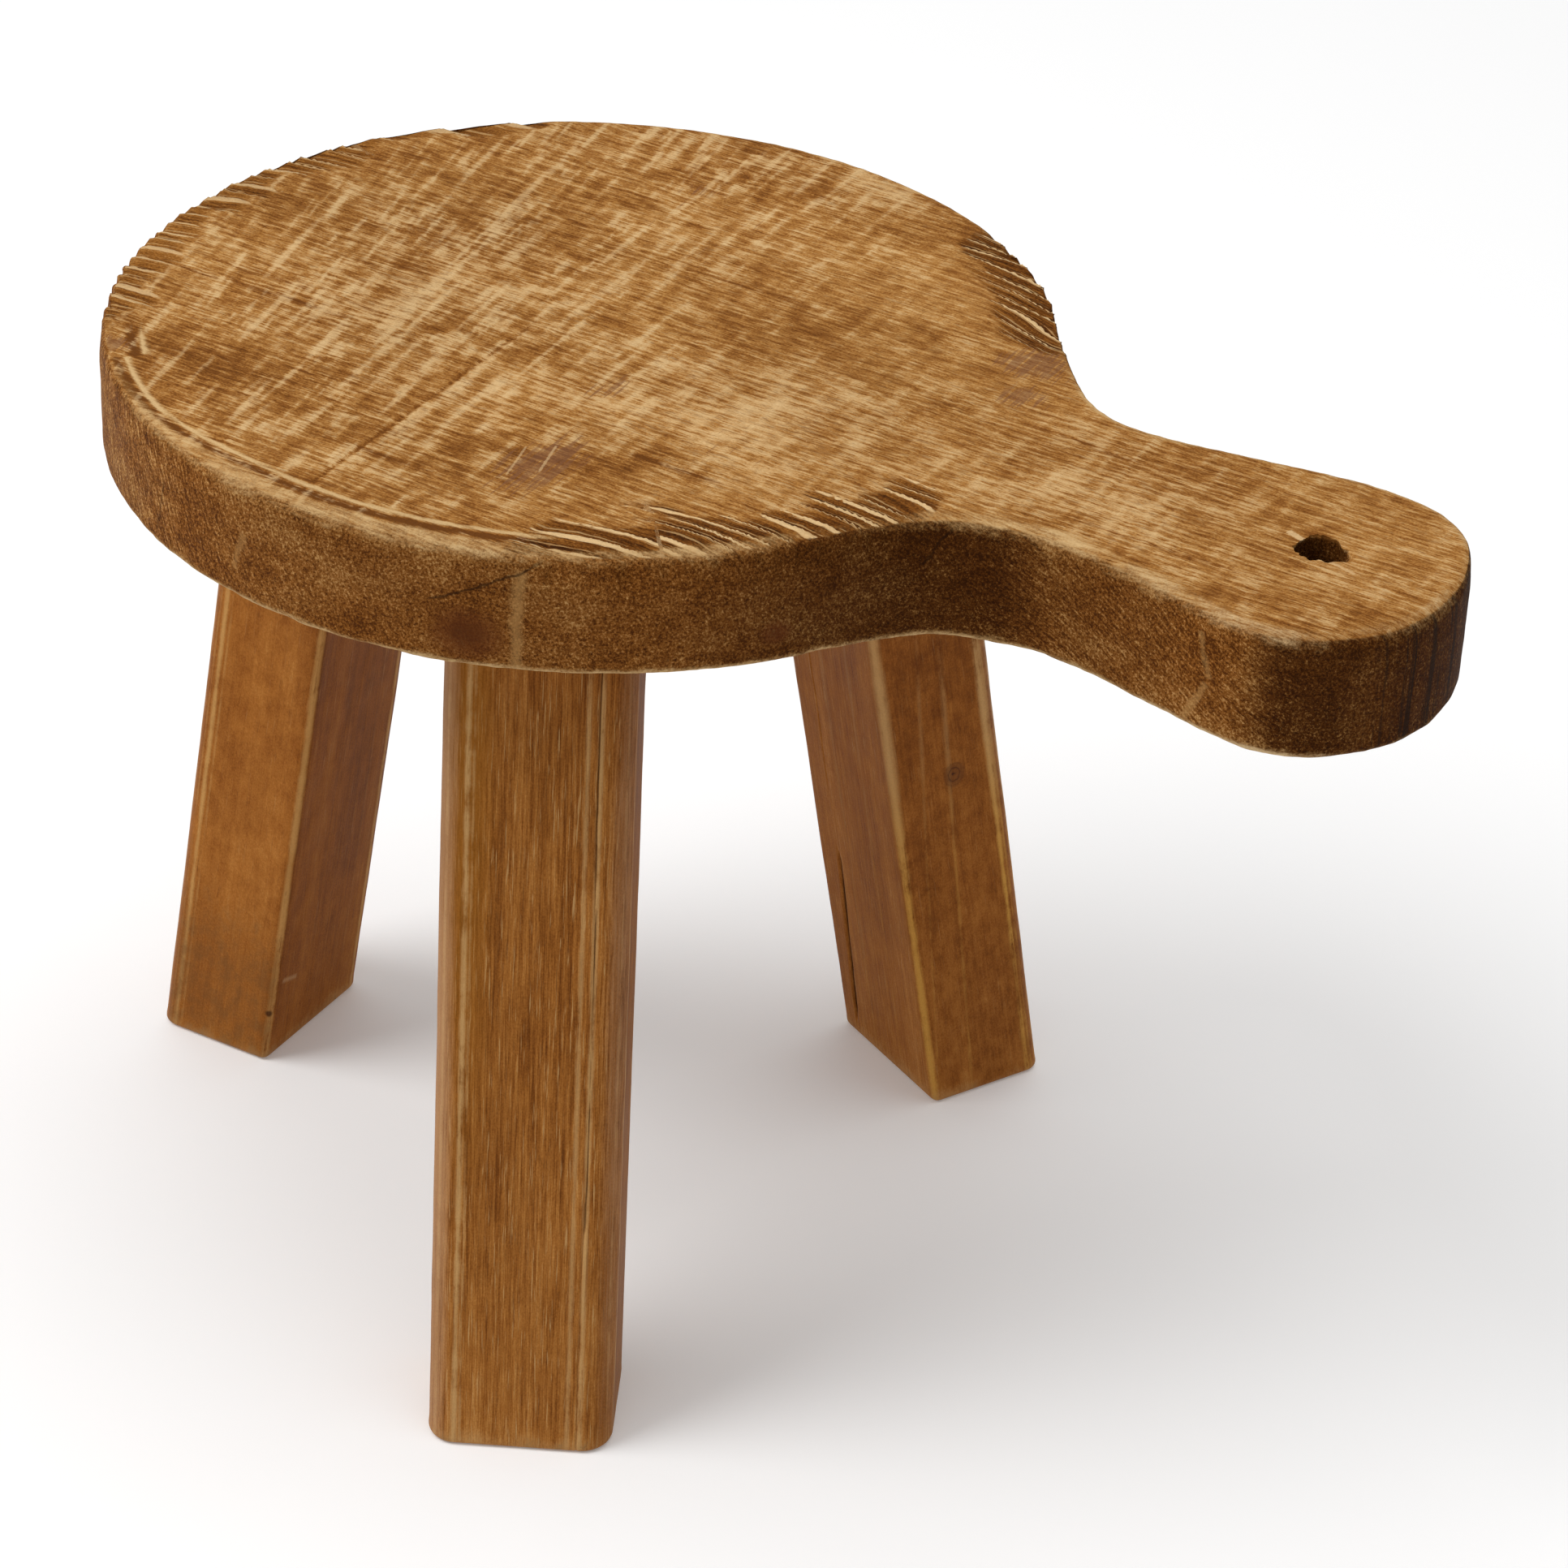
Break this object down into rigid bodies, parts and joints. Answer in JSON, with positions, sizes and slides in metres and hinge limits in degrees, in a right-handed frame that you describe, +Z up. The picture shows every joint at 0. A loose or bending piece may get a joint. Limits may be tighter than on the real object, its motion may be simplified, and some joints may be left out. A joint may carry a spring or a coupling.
{
  "type": "milking stool",
  "caption": "Low wooden milking stool: a round seat board that runs out into a waisted handle with a hanging hole, on splayed legs with rounded corners.",
  "frame": {"origin": "on the floor, at the middle of the stool's box in plan", "axes": "+X from the disc towards the end of the handle, +Y across the seat towards the right leg, +Z up out of the seat"},
  "size_m": [0.3798, 0.2582, 0.2615],
  "materials": {
    "seat_wood": "brown-stained rough-sawn softwood, sanded at the edges, matt",
    "leg_wood": "brown-stained planed softwood, satin, with paler rubbed edges",
    "dowel_wood": "plain turned beech, unfinished"
  },
  "bodies": {
    "root": {"seat": "seat_wood", "leg_rear": "leg_wood", "leg_left": "leg_wood", "leg_right": "leg_wood", "dowel_rear_a": "dowel_wood", "dowel_rear_b": "dowel_wood", "dowel_left_a": "dowel_wood", "dowel_left_b": "dowel_wood", "dowel_right_a": "dowel_wood", "dowel_right_b": "dowel_wood"}
  },
  "joints": []
}
